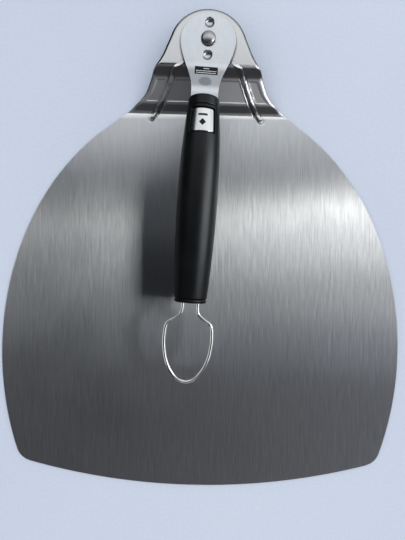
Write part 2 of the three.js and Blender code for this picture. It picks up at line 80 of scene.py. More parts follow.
# ---- Dimensions in millimetres, from the swivel axis and the blade's underside ----

SHEET = 1.2
BLADE_HALF_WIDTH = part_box("blade")[1].x / MM
BLADE_HALF_LENGTH = 216.8
BLADE_CENTRE_Y = -PIVOT.y / MM
FRONT_Y = (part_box("blade")[0].y - PIVOT.y) / MM
FRONT_RADIUS = 561.0
CORNER_TRIM = 9.0
SHEET_EDGE = 0.22

PLATFORM_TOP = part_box("blade")[1].z / MM
PLATFORM_RADIUS = 31.7
PLATFORM_CENTRE_Y = -4.7
PLATFORM_ARC_END = 18.0
FLARE = [(33.3, -2.5), (36.8, -10.8), (41.4, -18.4), (45.3, -23.8), (48.1, -30), (51.4, -36.6),
         (56.6, -42.3), (64, -47.7), (71.6, -53.4)]
SHOULDER_X = 80.0
NECK_CORNERS = [(60, PLATFORM_TOP), (-20.3, PLATFORM_TOP), (-25, 16), (-44.5, 7.6), (-49.5, SHEET),
                (-400, SHEET)]
NECK_BEND = 2.4
NECK_END = -66.0
RIM_ROLL = 3.0
RIM_END = -80.0
GROOVE = {"y": -50.6, "width": 0.8, "depth": 0.22}
PANEL = {"top": -27.0, "foot": -43.0, "inner_gap": 3.4, "outer_gap": 3.2, "rim_gap": 5.0, "depth": 0.42}
BEAD_LINE = [(18.5, -14.5), (21.5, -18), (26, -21.5), (28.7, -24.5), (33.3, -34.2), (37.9, -43.4),
             (41, -47.3), (46.7, -55.2)]
# Where a part of the bead fades in or out is a share of the bead's length
BEAD_CREST = {"height": 1.7, "half_width": 1.55, "grows": (0.0, 0.12), "ends": (1.0, 0.98)}
BEAD_FLANK = {"height": 1.1, "across": (1.9, 0.5), "grows": (0.12, 0.26), "ends": (0.5, 0.36)}
BEAD_CREASE = {"depth": 0.35, "off": 2.3, "width": 0.5, "grows": (0.2, 0.35)}
BEAD_RISE = 0.25
FRONT_BEND = {"start": -60.0, "power": 1.5}
DETENT_Y = 13.0
DETENT_RADIUS = 3.6
SEAT_DEPTH = 0.7
SEAT_SLOPE = 1.4

HEAD_RADIUS = 22.0
HEAD_CENTRE_Y = -1.4
HEAD_ARC_END = -12.0
HEAD_PULL = (-2.7, -15.6)
STRAP_HALF_WIDTH = 10.6
STRAP_START_Y = -46.0
STRAP_PULL = 18.0
JOGGLE = (-23.0, -42.0)
JOGGLE_BEND = 4.0
TANG_PLATE, TANG_EDGE = 1.5, 0.25
TOP_PLATE, TOP_EDGE = 1.2, 0.5
PLATE_GAP = 0.2
TANG_HALF_WIDTH = 6.0
TANG_END = -108.0
TOP_TAIL = [(STRAP_HALF_WIDTH, -50.0), (STRAP_HALF_WIDTH, -61.0)]
TANG_TAIL = [(STRAP_HALF_WIDTH, -50.0), (STRAP_HALF_WIDTH, -59.0), (TANG_HALF_WIDTH, -64.0),
             (TANG_HALF_WIDTH, TANG_END)]
DIMPLE_DEPTH = 2.0
LABEL = {"y": -26.0, "half_width": 9.15, "half_height": 3.4, "lift": 0.05, "sheet": 0.04, "edge": 0.01}
WELD_MARK = {"y": -35.6, "half_width": 5.2, "half_length": 4.2}

GRIP_MOUTH_Y = -49.8
GRIP_LENGTH = 160.0
GRIP_SHAPE = [(0, 12.1), (9, 12.7), (30, 14.4), (52, 15.5), (80, 15.85), (116, 15.1), (148, 13.4),
              (160, 12.5)]
GRIP_BORE = 7.6
COLLAR_LENGTH = 8.0
COLLAR_LIP = 1.6
CAP_LENGTH = 3.0
PLUG_RADIUS = 9.3
PLUG_DEPTH = 12.0
PLUG_EDGE = 1.5
JOINT_GAP = 0.25
JOINT_EDGE = 0.45
STRAP_PLAY = 0.3
WINDOW = {"start": 10.4, "end": 30.4, "half_angle": 44.5, "depth": 2.0, "corner": 1.6}
WINDOW_EDGE = (-0.12, 0.28)
BADGE = {"start": 11.7, "end": 29.2, "half_angle": 38.5, "sunk": 0.5, "corner": 1.2}
BADGE_PLATE, BADGE_EDGE = 1.1, 0.25

WIRE_RADIUS = 1.45
WIRE_X = 6.0
WIRE_PLAY = 0.25
LOOP_HALF = [(WIRE_X, -14), (WIRE_X, 0), (WIRE_X, 5), (7.2, 9.2), (11.6, 13.2), (16.2, 16.2), (18.1, 20),
             (18.7, 27), (18.5, 34), (16.7, 44), (13, 53), (7, 60.2), (0, 62.6)]

# Heights of the stack on the swivel axis, read from the frame
STACK = ("pivot_rivet", "slip_washer", "backing_washer", "spring_washer", "top_plate", "tang_plate")
Z = {name: (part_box(name)[0].z / MM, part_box(name)[1].z / MM) for name in STACK}
TANG_BOTTOM = Z["tang_plate"][0]
TOP_PLATE_TOP = TANG_BOTTOM + TANG_PLATE + PLATE_GAP + TOP_PLATE
TANG_TOP_AT_GRIP = Z["tang_plate"][1]
TOP_PLATE_TOP_AT_GRIP = Z["top_plate"][1]

RIVET_RADIUS = 3.0
RIVET_HEAD = {"bottom": TOP_PLATE_TOP + 0.05, "radius": 6.0, "chamfer": (0.25, 0.2), "rim": 0.5}
RIVET_TAIL = {"radius": 5.0, "chamfer": 0.6, "height": 1.6}
SWIVEL_BORE = RIVET_RADIUS + 0.2
WASHER_EDGE = 0.25
SLIP_RADIUS, BACKING_RADIUS = 8.6, 8.0
CONE_RADIUS, CONE_SHEET, CONE_EDGE = 7.0, 0.6, 0.2
TANG_HOLES = [(0, 0, SWIVEL_BORE), (0, DETENT_Y, DETENT_RADIUS + 1), (0, -DETENT_Y, DETENT_RADIUS + 1)]

# How closely the meshes follow the shapes
ARC_START = 88.0
PLATFORM_POINTS = 34
CORNER_POINTS = 8
HEAD_POINTS = 44
BLADE_ROWS = [(-15, 1.0), (-27, 0.4), (-41, 0.55), (-59, 0.36), (-72, 1.3)]
BLADE_ROW_STEP = 5.0
PLATE_ROWS = [(-18.5, 0.45), (-46.5, 0.6)]
PLATE_ROW_STEP = 2.5
RIM_STEPS = np.array([0, 0.05, 0.18, 0.4, 0.75, 1.2, 1.75, 2.4, 3.2, 4.2])
RIM_FULL_WIDTH = 12.0
BEAD_REACH = 3.6
DIMPLE_SNAP = 0.24


# ---- Curves and meshes ----

def smooth_curve(points, count):
    """count points along a Catmull-Rom curve through the given 2-D points, evenly spaced by arc length."""
    p = np.array(points, float)
    p = np.vstack([2 * p[0] - p[1], p, 2 * p[-1] - p[-2]])
    fine = []
    for a, b, c, d in zip(p, p[1:], p[2:], p[3:]):
        for t in np.linspace(0, 1, 40, endpoint=False):
            fine.append(0.5 * (2 * b + (c - a) * t + (2 * a - 5 * b + 4 * c - d) * t ** 2
                               + (3 * b - a - 3 * c + d) * t ** 3))
    line = np.array([*fine, p[-2]])
    length = np.concatenate([[0], np.cumsum(np.linalg.norm(np.diff(line, axis=0), axis=1))])
    want = np.linspace(0, length[-1], count)
    return np.stack([np.interp(want, length, line[:, k]) for k in (0, 1)], 1)


def parabola(start, corner, end, count):
    """count points from start to end on a parabola that rounds the corner between them."""
    t = np.linspace(0, 1, count)[:, None]
    return (1 - t) ** 2 * start + 2 * t * (1 - t) * corner + t ** 2 * end


def rounded_line(corners, trim, count=8):
    """A polyline whose inner corners are rounded from trim before them, or less on a short side."""
    c = np.array(corners, float)
    line = [c[:1]]
    for before, corner, after in zip(c, c[1:], c[2:]):
        to_before, to_after = before - corner, after - corner
        length_before, length_after = np.linalg.norm(to_before), np.linalg.norm(to_after)
        room = min(trim, length_before * 0.45, length_after * 0.45)
        start, end = corner + to_before / length_before * room, corner + to_after / length_after * room
        line.append(parabola(start, corner, end, count))
    return np.vstack([*line, c[-1:]])


def height_along(y, corners, bend):
    """Height at y of a sheet that is a line of (y, height) corners from the side, rounded at its bends."""
    line = rounded_line(corners, bend)
    return np.interp(-y, -line[:, 0], line[:, 1])


def arc(radius, centre_y, end, count):
    """Points on a circle about (0, centre_y), from beside its top to an end angle in degrees."""
    a = np.radians(np.linspace(ARC_START, end, count))
    return np.stack([radius * np.cos(a), centre_y + radius * np.sin(a)], 1)


def smoothstep(low, high, value):
    """0 up to low, 1 from high on, and smooth between."""
    t = np.clip((value - low) / (high - low), 0, 1)
    return t * t * (3 - 2 * t)


def stepped(rows, steps):
    """Carries rows on down to the end of each (end, step), about a step apart."""
    rows = list(rows)
    for end, step in steps:
        count = max(2, round((rows[-1] - end) / step))
        rows += list(np.linspace(rows[-1], end, count + 1)[1:])
    return np.array(rows)


def distance_to_line(points, line):
    """Distance of each 2-D point to a polyline, and the place along it from 0 to 1."""
    start, step = line[:-1], np.diff(line, axis=0)
    length = np.linalg.norm(step, axis=1)
    total = np.concatenate([[0], np.cumsum(length)])
    best = np.full(len(points), np.inf)
    place = np.zeros(len(points))
    for i in range(len(step)):
        offset = points - start[i]
        t = np.clip(offset @ step[i] / max(length[i] ** 2, 1e-12), 0, 1)
        gap = np.linalg.norm(offset - t[:, None] * step[i], axis=1)
        near = gap < best
        best[near] = gap[near]
        place[near] = (total[i] + t[near] * length[i]) / total[-1]
    return best, place


def new_object(name, vertices, faces, place):
    """A mesh object from millimetre vertices, put in place by a matrix."""
    mesh = bpy.data.meshes.new(name)
    mesh.from_pydata([tuple(v) for v in np.asarray(vertices, float) * MM], [], faces)
    mesh.transform(place)
    mesh.validate()
    mesh.update()
    obj = bpy.data.objects.new(name, mesh)
    bpy.context.scene.collection.objects.link(obj)
    return obj


def grid_faces(rows, columns, closed_rows=False, closed_columns=False):
    """Faces between the points of a grid that are counted row by row."""
    faces = []
    for i in range(rows if closed_rows else rows - 1):
        for j in range(columns if closed_columns else columns - 1):
            a, b = i % rows * columns + j, i % rows * columns + (j + 1) % columns
            c, d = (i + 1) % rows * columns + (j + 1) % columns, (i + 1) % rows * columns + j
            faces.append((a, b, c, d))
    return faces


def solid_faces(rings, count):
    """Faces of a solid made of rings of count points each, with a flat face over each end."""
    last = (rings - 1) * count
    ends = [tuple(range(count))[::-1], tuple(range(last, last + count))]
    return grid_faces(rings, count, closed_columns=True) + ends


def open_sheet(name, flat, top, faces, place, holes=()):
    """A sheet that faces up, from plan positions and heights, with round holes of (x, y, radius)."""
    faces = np.array(faces)
    for x, y, radius in holes:
        centre = flat[faces].mean(1)
        inside = np.hypot(centre[:, 0] - x, centre[:, 1] - y) <= radius
        rim = np.intersect1d(faces[inside], faces[~inside])
        offset = flat[rim] - (x, y)
        flat[rim] = (x, y) + offset * radius / np.linalg.norm(offset, axis=1)[:, None]
        faces = faces[~inside]
    used, faces = np.unique(faces[:, ::-1], return_inverse=True)
    return new_object(name, np.column_stack([flat, top])[used], faces.reshape(-1, 4).tolist(), place)


def apply_modifiers(obj, sharp_angle=35.0):
    """Turns the modifiers into mesh, shades it smooth and keeps edges over sharp_angle sharp."""
    graph = bpy.context.evaluated_depsgraph_get()
    mesh = bpy.data.meshes.new_from_object(obj.evaluated_get(graph))
    obj.modifiers.clear()
    obj.data = mesh
    mesh.polygons.foreach_set("use_smooth", np.ones(len(mesh.polygons), bool))
    mesh.set_sharp_from_angle(angle=math.radians(sharp_angle))
    mesh.update()
    return obj


def thicken(obj, thickness, edge):
    """Gives an open sheet its thickness, below its face, and rounds the cut edge."""
    solid = obj.modifiers.new("sheet", "SOLIDIFY")
    solid.thickness = thickness * MM
    solid.offset = -1
    round_edge = obj.modifiers.new("edge", "BEVEL")
    round_edge.width = edge * MM
    round_edge.segments = 2
    round_edge.limit_method = "ANGLE"
    round_edge.angle_limit = math.radians(50)
    return apply_modifiers(obj)


def turned(name, profile, place, segments=96):
    """A turned body about Z from a profile of (radius, height), which closes on itself or on the axis."""
    p = np.array(profile, float)
    closes = np.allclose(p[0], p[-1])
    if closes:
        p = p[:-1]
    a = np.linspace(0, 2 * math.pi, segments, endpoint=False)
    vertices, faces, rings = [], [], []
    for radius, height in p:
        if radius < 1e-6:
            rings.append([len(vertices)])
            vertices.append((0, 0, height))
        else:
            rings.append(list(range(len(vertices), len(vertices) + segments)))
            vertices += [(radius * math.cos(t), radius * math.sin(t), height) for t in a]
    pairs = list(zip(rings, rings[1:])) + ([(rings[-1], rings[0])] if closes else [])
    for low, high in pairs:
        for j in range(segments):
            k = (j + 1) % segments
            around = (low[j % len(low)], low[k % len(low)], high[k % len(high)], high[j % len(high)])
            face = tuple(dict.fromkeys(around))
            if len(face) > 2:
                faces.append(face)
    return apply_modifiers(new_object(name, vertices, faces, place), 40)


# ---- Blade ----

BEAD_CURVE = smooth_curve(BEAD_LINE, 80)


def side_y(x, side):
    """Y of the blade's oval side, behind its widest place (side 1) or before it (side -1)."""
    return BLADE_CENTRE_Y + side * BLADE_HALF_LENGTH * math.sqrt(1 - (x / BLADE_HALF_WIDTH) ** 2)


def front_y(x):
    """Y of the blade's bowed front edge."""
    return FRONT_Y + FRONT_RADIUS - np.sqrt(FRONT_RADIUS ** 2 - np.asarray(x, float) ** 2)


def blade_sides():
    """The right edge from the top of the platform to the middle of the front corner, and the right
    half of the front edge."""
    # The corner is where the side meets the front edge, to a hundredth of a millimetre
    corner_x = BLADE_HALF_WIDTH
    while side_y(corner_x, -1) > front_y(corner_x):
        corner_x -= 0.01
    corner = np.array([corner_x, float(front_y(corner_x))])
    corner_angle = math.asin((corner[1] - BLADE_CENTRE_Y) / BLADE_HALF_LENGTH)
    start_angle = math.acos(SHOULDER_X / BLADE_HALF_WIDTH)
    platform = arc(PLATFORM_RADIUS, PLATFORM_CENTRE_Y, PLATFORM_ARC_END, PLATFORM_POINTS)
    shoulder = [(x, side_y(x, 1)) for x in (SHOULDER_X, SHOULDER_X + 6)]
    flare = smooth_curve([platform[-3], platform[-1], *FLARE, *shoulder], 400)
    flare = flare[(flare[:, 1] < platform[-1, 1] - 0.4) & (flare[:, 0] < SHOULDER_X)]
    a = np.linspace(start_angle, corner_angle + CORNER_TRIM / BLADE_HALF_LENGTH, 240)
    ellipse = np.stack([BLADE_HALF_WIDTH * np.cos(a), BLADE_CENTRE_Y + BLADE_HALF_LENGTH * np.sin(a)], 1)
    front_x = corner_x - CORNER_TRIM
    rounding = parabola(ellipse[-1], corner, np.array([front_x, front_y(front_x)]), 2 * CORNER_POINTS + 1)
    side = np.vstack([platform, flare, ellipse, rounding[1:CORNER_POINTS + 1]])
    x = np.linspace(front_x, 0, 200)
    return side, np.vstack([rounding[CORNER_POINTS:], np.stack([x, front_y(x)], 1)[1:]])


def half_row(y, w, bead_w):
    """Columns of one row from the middle to the rim, close together over the bead and at the rim."""
    rim = RIM_STEPS * min(1.0, w / RIM_FULL_WIDTH)
    limit = w - rim[-1]
    grow = max(1.0, w / bead_w)
    bead_x = min(np.interp(-y, -BEAD_CURVE[:, 1], BEAD_CURVE[:, 0]) * grow, 0.6 * limit)
    spread = min(BEAD_REACH * grow, 0.3 * bead_x)
    inner = np.linspace(0, bead_x - spread, 24)
    over = np.linspace(bead_x - spread, bead_x + spread, 26)[1:]
    outer = np.linspace(bead_x + spread, limit, 20)[1:]
    return np.concatenate([inner, over, outer, w - rim[-2::-1]])


def blade_plan():
    """Plan positions of the blade's mesh as rows by columns, and the right edge. The rows start
    straight across the neck, and bend with the front edge towards it."""
    side, front = blade_sides()
    last = side[-CORNER_POINTS - 1, 1]
    rows = stepped(side[:PLATFORM_POINTS, 1], BLADE_ROWS + [(last, BLADE_ROW_STEP)])
    rows = np.concatenate([rows, side[-CORNER_POINTS:, 1]])
    order = np.argsort(-side[:, 1], kind="stable")
    half = np.interp(-rows, -side[order, 1], side[order, 0])
    bead_w = float(np.interp(-BEAD_CURVE[-1, 1], -side[order, 1], side[order, 0]))
    start = FRONT_BEND["start"]
    share = np.clip((rows - start) / (side[-1, 1] - start), 0, 1) ** FRONT_BEND["power"]
    plan = []
    for y, w, s in zip(rows, half, share):
        right = half_row(y, w, bead_w)
        x = np.concatenate([-right[:0:-1], right])
        drop = np.interp(-np.abs(x) / w * half[-1], -front[:, 0], front[:, 1]) - front[0, 1]
        plan.append(np.stack([x, y + s * drop], 1))
    return np.array(plan), side


def recess(points):
    """Depth of the shallow pressed fields of the inclined panel, inside and outside the beads."""
    x, y = np.abs(points[:, 0]), points[:, 1]
    bead_x = np.interp(-y, -BEAD_CURVE[:, 1], BEAD_CURVE[:, 0])
    rim_x = np.interp(-y, [-p[1] for p in FLARE], [p[0] for p in FLARE])
    along = np.minimum(PANEL["top"] - y, y - PANEL["foot"])
    inside = np.minimum(along, bead_x - PANEL["inner_gap"] - x)
    across = np.minimum(x - bead_x - PANEL["outer_gap"], rim_x - PANEL["rim_gap"] - x)
    outside = np.minimum(along, across)
    return PANEL["depth"] * smoothstep(-0.1, 1.0, np.maximum(inside, outside))


def press_beads(flat, top, neck):
    """Raises the two beads, with higher flanks on the steep riser, each bead in a shallow crease."""
    crest, flank, crease = BEAD_CREST, BEAD_FLANK, BEAD_CREASE
    for mirror in (1, -1):
        near = neck & (flat[:, 0] * mirror > 10)
        off, place = distance_to_line(flat[near] * (mirror, 1), BEAD_CURVE)
        height = crest["height"] * smoothstep(*crest["grows"], place) * smoothstep(*crest["ends"], place)
        top[near] += height * np.sqrt(np.clip(1 - (off / crest["half_width"]) ** 2, 0, 1))
        depth = crease["depth"] * smoothstep(*crease["grows"], place)
        top[near] -= depth * np.exp(-((off - crease["off"]) / crease["width"]) ** 2)
        height = flank["height"] * smoothstep(*flank["grows"], place) * smoothstep(*flank["ends"], place)
        top[near] += height * smoothstep(*flank["across"], off)


def make_blade():
    """One sheet: platform, riser, inclined panel with its beads, and the wide blade."""
    plan, side = blade_plan()
    flat = plan.reshape(-1, 2)
    groove = GROOVE["depth"] * np.exp(-((flat[:, 1] - GROOVE["y"]) / GROOVE["width"]) ** 2)
    top = height_along(flat[:, 1], NECK_CORNERS, NECK_BEND) - groove
    neck = flat[:, 1] > NECK_END

    outline = np.vstack([side[::-1] * (-1, 1), side])
    outline = outline[outline[:, 1] > RIM_END]
    gap = np.full(len(flat), np.inf)
    gap[neck] = distance_to_line(flat[neck], outline)[0]
    fall = np.clip(1 - gap / RIM_ROLL, 0, 1)
    top -= np.minimum(RIM_ROLL, top - SHEET) * (1 - np.sqrt(1 - fall ** 2))

    # The tang passes just above the beads' upper ends, so these may stand only a little proud
    press_beads(flat, top, neck)
    top[neck] = np.minimum(top[neck], PLATFORM_TOP + BEAD_RISE) - recess(flat[neck])
    for y in (DETENT_Y, -DETENT_Y):
        reach = np.hypot(flat[:, 0], flat[:, 1] - y)
        top -= SEAT_DEPTH * smoothstep(DETENT_RADIUS, DETENT_RADIUS - SEAT_SLOPE, reach)

    faces = grid_faces(plan.shape[0], plan.shape[1])
    obj = open_sheet("blade_sheet", flat, top, faces, BLADE_FRAME, [(0, 0, SWIVEL_BORE)])
    thicken(obj, SHEET, SHEET_EDGE)
    for vertex in obj.data.vertices:
        vertex.co.z = max(vertex.co.z, 0.0)
    return obj


# ---- Swivel ----

def make_rivet():
    """A shank with a domed head above the handle plate and a set tail below the platform."""
    low, high = Z["pivot_rivet"]
    bottom, radius = RIVET_HEAD["bottom"], RIVET_HEAD["radius"]
    rim = bottom + RIVET_HEAD["rim"]
    dome = [(radius * math.sin(a), rim + (high - rim) * math.cos(a))
            for a in np.linspace(math.radians(90), 0, 18)]
    tail, chamfer, tail_top = RIVET_TAIL["radius"], RIVET_TAIL["chamfer"], low + RIVET_TAIL["height"]
    across, up = RIVET_HEAD["chamfer"]
    foot = [(0, low), (tail - chamfer, low), (tail, low + chamfer), (tail, tail_top),
            (RIVET_RADIUS, tail_top), (RIVET_RADIUS, bottom), (radius - across, bottom),
            (radius, bottom + up)]
    return turned("rivet", foot + dome, BLADE_FRAME)


def make_washer(name, node, outer, edge, thickness=None):
    """A flat washer, or a conical one where its sheet is thinner than its height."""
    low, high = Z[node]
    thick = thickness or high - low
    middle = (SWIVEL_BORE, low + thick / 2)
    profile = [middle, (SWIVEL_BORE, low), (outer, high - thick), (outer, high), (SWIVEL_BORE, low + thick),
               middle]
    return turned(name, rounded_line(profile, edge, 5), BLADE_FRAME)


# ---- Handle plates and label ----

def pear_side():
    """The right edge of the plates: an arc round the head, then a curve that narrows to the strap."""
    head = arc(HEAD_RADIUS, HEAD_CENTRE_Y, HEAD_ARC_END, HEAD_POINTS)
    start = head[-1]
    from_head = start + HEAD_PULL
    end = np.array([STRAP_HALF_WIDTH, STRAP_START_Y])
    to_strap = end + (0, STRAP_PULL)
    t = np.linspace(0, 1, 60)[1:, None]
    narrowing = ((1 - t) ** 3 * start + 3 * t * (1 - t) ** 2 * from_head
                 + 3 * t ** 2 * (1 - t) * to_strap + t ** 3 * end)
    return np.vstack([head, narrowing])


def plate_height(y, head_top, grip_top):
    """Height of a handle plate's upper face, which the joggle lifts from the head to the grip's axis."""
    corners = [(60, head_top), (JOGGLE[0], head_top), (JOGGLE[1], grip_top), (-400, grip_top)]
    return height_along(y, corners, JOGGLE_BEND)


def press_dimple(flat, top, y):
    """Presses a round bowl into a plate, with the nearest points of its mesh moved onto the rim."""
    offset = flat - (0, y)
    reach = np.hypot(offset[:, 0], offset[:, 1])
    rim = np.abs(reach - DETENT_RADIUS) < DIMPLE_SNAP
    flat[rim] = (0, y) + offset[rim] * DETENT_RADIUS / reach[rim, None]
    reach[rim] = DETENT_RADIUS
    bowl = np.sqrt(np.clip(1 - (reach / (DETENT_RADIUS + 0.02)) ** 2, 0, 1))
    top -= np.where(reach <= DETENT_RADIUS, DIMPLE_DEPTH * bowl ** 0.8, 0)


def make_plate(name, head_top, grip_top, thickness, tail, edge, holes=()):
    """A plate of the handle: pear-shaped head, joggle up to the grip's axis and a straight tail.
    It gets the given holes, or else the two detent dimples."""
    side = np.vstack([pear_side(), tail])
    rows = stepped(side[:HEAD_POINTS, 1], PLATE_ROWS + [(side[-1, 1], PLATE_ROW_STEP)])
    half = np.interp(-rows, -side[:, 1], side[:, 0])
    across = np.linspace(-1, 1, 97)
    flat = np.array([[(w * u, y) for u in across] for y, w in zip(rows, half)]).reshape(-1, 2)
    top = plate_height(flat[:, 1], head_top, grip_top)
    if not holes:
        press_dimple(flat, top, DETENT_Y)
        press_dimple(flat, top, -DETENT_Y)
    faces = grid_faces(len(rows), len(across))
    return thicken(open_sheet(name, flat, top, faces, HANDLE_FRAME, holes), thickness, edge)


def make_label():
    """The printed patch, a skin on the top plate that follows the joggle."""
    u = np.linspace(-LABEL["half_width"], LABEL["half_width"], 40)
    v = np.linspace(LABEL["half_height"], -LABEL["half_height"], 24) + LABEL["y"]
    flat = np.array([[(x, y) for x in u] for y in v]).reshape(-1, 2)
    top = plate_height(flat[:, 1], TOP_PLATE_TOP, TOP_PLATE_TOP_AT_GRIP) + LABEL["lift"]
    obj = open_sheet("label_patch", flat, top, grid_faces(len(v), len(u)), HANDLE_FRAME)
    return thicken(obj, LABEL["sheet"], LABEL["edge"])


# ---- Grip ----

GRIP_CURVE = smooth_curve(GRIP_SHAPE, 200)
GRIP_FRAME = HANDLE_FRAME @ Matrix.Translation((0, GRIP_MOUTH_Y * MM, AXIS_Z * MM))
# Turns a body that is turned about Z onto the grip's axis
GRIP_TURN = Matrix.Rotation(math.radians(90), 4, "X")


def grip_radius(along):
    """Outer radius of the grip at a distance from its mouth."""
    return float(np.interp(along, GRIP_CURVE[:, 0], GRIP_CURVE[:, 1]))


def grip_point(radius, along, angle):
    """A point at an angle in radians from straight up, turning towards +X."""
    return radius * math.sin(angle), -along, radius * math.cos(angle)


def edge_drop(gap, radius):
    """How far a rounded edge lies inside the surface, at a distance from the end."""
    short = max(0.0, radius - gap)
    return radius - math.sqrt(radius ** 2 - short ** 2)


def window_inside(along, angle):
    """Signed distance in millimetres along the grip's surface, positive inside the rounded window."""
    radius, corner = grip_radius(along), WINDOW["corner"]
    half_length = (WINDOW["end"] - WINDOW["start"]) / 2
    half_width = radius * math.radians(WINDOW["half_angle"])
    dx = abs(along - (WINDOW["start"] + WINDOW["end"]) / 2) - (half_length - corner)
    dy = abs(angle) * radius - (half_width - corner)
    return corner - math.hypot(max(dx, 0), max(dy, 0)) - min(max(dx, dy), 0)


def make_shell():
    """The hollow grip, with the window for the badge sunk into its upper side. The rings stand close
    together at both ends and over the window's edges."""
    start, end = COLLAR_LENGTH + JOINT_GAP, GRIP_LENGTH - CAP_LENGTH - JOINT_GAP
    near, far = WINDOW["start"], WINDOW["end"]
    alongs = np.concatenate([
        (start, start + 0.06, start + 0.25, start + 0.6), np.linspace(start + 1.0, near - 0.5, 3),
        np.linspace(near - 0.3, near + 2.2, 14), np.linspace(near + 2.8, far - 2.8, 14),
        np.linspace(far - 2.2, far + 0.3, 14), np.linspace(far + 0.8, end - 1.2, 84),
        (end - 0.7, end - 0.3, end - 0.08, end)])
    side = WINDOW["half_angle"]
    right = np.concatenate([np.linspace(0, side - 8, 13)[:-1], np.linspace(side - 8, side + 1.5, 34),
                            np.linspace(side + 2.5, 180, 44)])
    angles = np.radians(np.concatenate([right, -right[1:-1][::-1]]))
    rings = []
    for s in alongs:
        rim = grip_radius(s) - edge_drop(min(s - start, end - s), JOINT_EDGE)
        sunk = [WINDOW["depth"] * smoothstep(*WINDOW_EDGE, window_inside(s, a)) for a in angles]
        rings.append([grip_point(rim - depth, s, a) for a, depth in zip(angles, sunk)])
    rings += [[grip_point(GRIP_BORE, s, a) for a in angles] for s in (end, start)]
    faces = grid_faces(len(rings), len(angles), closed_rows=True, closed_columns=True)
    return apply_modifiers(new_object("grip_sleeve", np.array(rings).reshape(-1, 3), faces, GRIP_FRAME), 40)


def make_collar():
    """The cuff at the grip's mouth, with a slot for the two plates."""
    end = COLLAR_LENGTH
    alongs = [0, 0.12, 0.35, 0.7, 1.1, 1.6, 2.2, *np.linspace(3, end - 0.7, 6), end - 0.35, end - 0.1, end]
    angles = np.linspace(0, 2 * math.pi, 128, endpoint=False)
    vertices = []
    for s in alongs:
        radius = grip_radius(s) - edge_drop(s, COLLAR_LIP) - edge_drop(end - s, JOINT_EDGE)
        vertices += [grip_point(radius, s, a) for a in angles]
    obj = new_object("grip_cuff", vertices, solid_faces(len(alongs), len(angles)), GRIP_FRAME)
    side = STRAP_HALF_WIDTH + STRAP_PLAY
    low = TANG_TOP_AT_GRIP - TANG_PLATE - STRAP_PLAY - AXIS_Z
    high = TOP_PLATE_TOP_AT_GRIP + STRAP_PLAY - AXIS_Z
    corners = [(x, y, z) for x in (-side, side) for y in (-end - 1, 1) for z in (low, high)]
    sides = [(0, 1, 3, 2), (4, 6, 7, 5), (0, 4, 5, 1), (2, 3, 7, 6), (0, 2, 6, 4), (1, 5, 7, 3)]
    cut_by(obj, new_object("grip_cuff_slot", corners, sides, GRIP_FRAME))
    return apply_modifiers(obj, 40)


def cut_by(obj, cutter):
    """Takes the cutter's shape out of obj, and removes the cutter."""
    cut = obj.modifiers.new("cut", "BOOLEAN")
    cut.operation = "DIFFERENCE"
    cut.solver = "EXACT"
    cut.object = cutter
    apply_modifiers(obj)
    bpy.data.objects.remove(cutter)


def make_cap():
    """The plug in the grip's end, with the two holes for the wire."""
    start, end = GRIP_LENGTH - CAP_LENGTH, GRIP_LENGTH
    inner = start - PLUG_DEPTH
    profile = [(0, inner), (PLUG_RADIUS, inner), (PLUG_RADIUS, start), (grip_radius(start), start),
               (grip_radius(end), end), (0, end)]
    obj = turned("grip_plug", rounded_line(profile, PLUG_EDGE, 7), GRIP_FRAME @ GRIP_TURN)
    radius, below, above = WIRE_RADIUS + WIRE_PLAY, start - 20, end + 5
    hole = [(0, below), (radius, below), (radius, above), (0, above)]
    for x in (WIRE_X, -WIRE_X):
        place = GRIP_FRAME @ Matrix.Translation((x * MM, 0, 0)) @ GRIP_TURN
        cut_by(obj, turned("grip_plug_hole", hole, place, 32))
    return apply_modifiers(obj, 40)


def make_badge():
    """A plate curved round the grip, whose grid of points is drawn in at its four rounded corners."""
    corner, half_angle = BADGE["corner"], math.radians(BADGE["half_angle"])
    middle, half_length = (BADGE["start"] + BADGE["end"]) / 2, (BADGE["end"] - BADGE["start"]) / 2
    alongs, angles = np.linspace(-half_length, half_length, 60), np.linspace(-half_angle, half_angle, 72)
    vertices = []
    for s in alongs:
        radius = grip_radius(middle + s)
        for a in angles:
            along, across = abs(s), abs(a) * radius
            past_s, past_a = along - (half_length - corner), across - (half_angle * radius - corner)
            if past_s > 0 and past_a > 0:
                pull = 1 - 1 / max(1.0, math.hypot(past_s, past_a) / corner)
                along, across = along - past_s * pull, across - past_a * pull
            turn = math.copysign(across / radius, a)
            vertices.append(grip_point(radius - BADGE["sunk"], middle + math.copysign(along, s), turn))
    faces = [f[::-1] for f in grid_faces(len(alongs), len(angles))]
    return thicken(new_object("badge_plate", vertices, faces, GRIP_FRAME), BADGE_PLATE, BADGE_EDGE)


def make_loop():
    """The bent wire, round in section, with both ends in the plug."""
    right = np.array(LOOP_HALF, float)
    line = smooth_curve(np.vstack([right, right[:-1][::-1] * (-1, 1)]), 320)
    tangent = np.gradient(line, axis=0)
    tangent /= np.linalg.norm(tangent, axis=1)[:, None]
    sides = 24
    vertices = []
    for (x, s), (tx, ts) in zip(line, tangent):
        for a in np.linspace(0, 2 * math.pi, sides, endpoint=False):
            off = WIRE_RADIUS * math.cos(a)
            vertices.append((x - ts * off, -(GRIP_LENGTH + s + tx * off), WIRE_RADIUS * math.sin(a)))
    return apply_modifiers(new_object("wire_loop", vertices, solid_faces(len(line), sides), GRIP_FRAME), 60)


# ---- Node trees ----

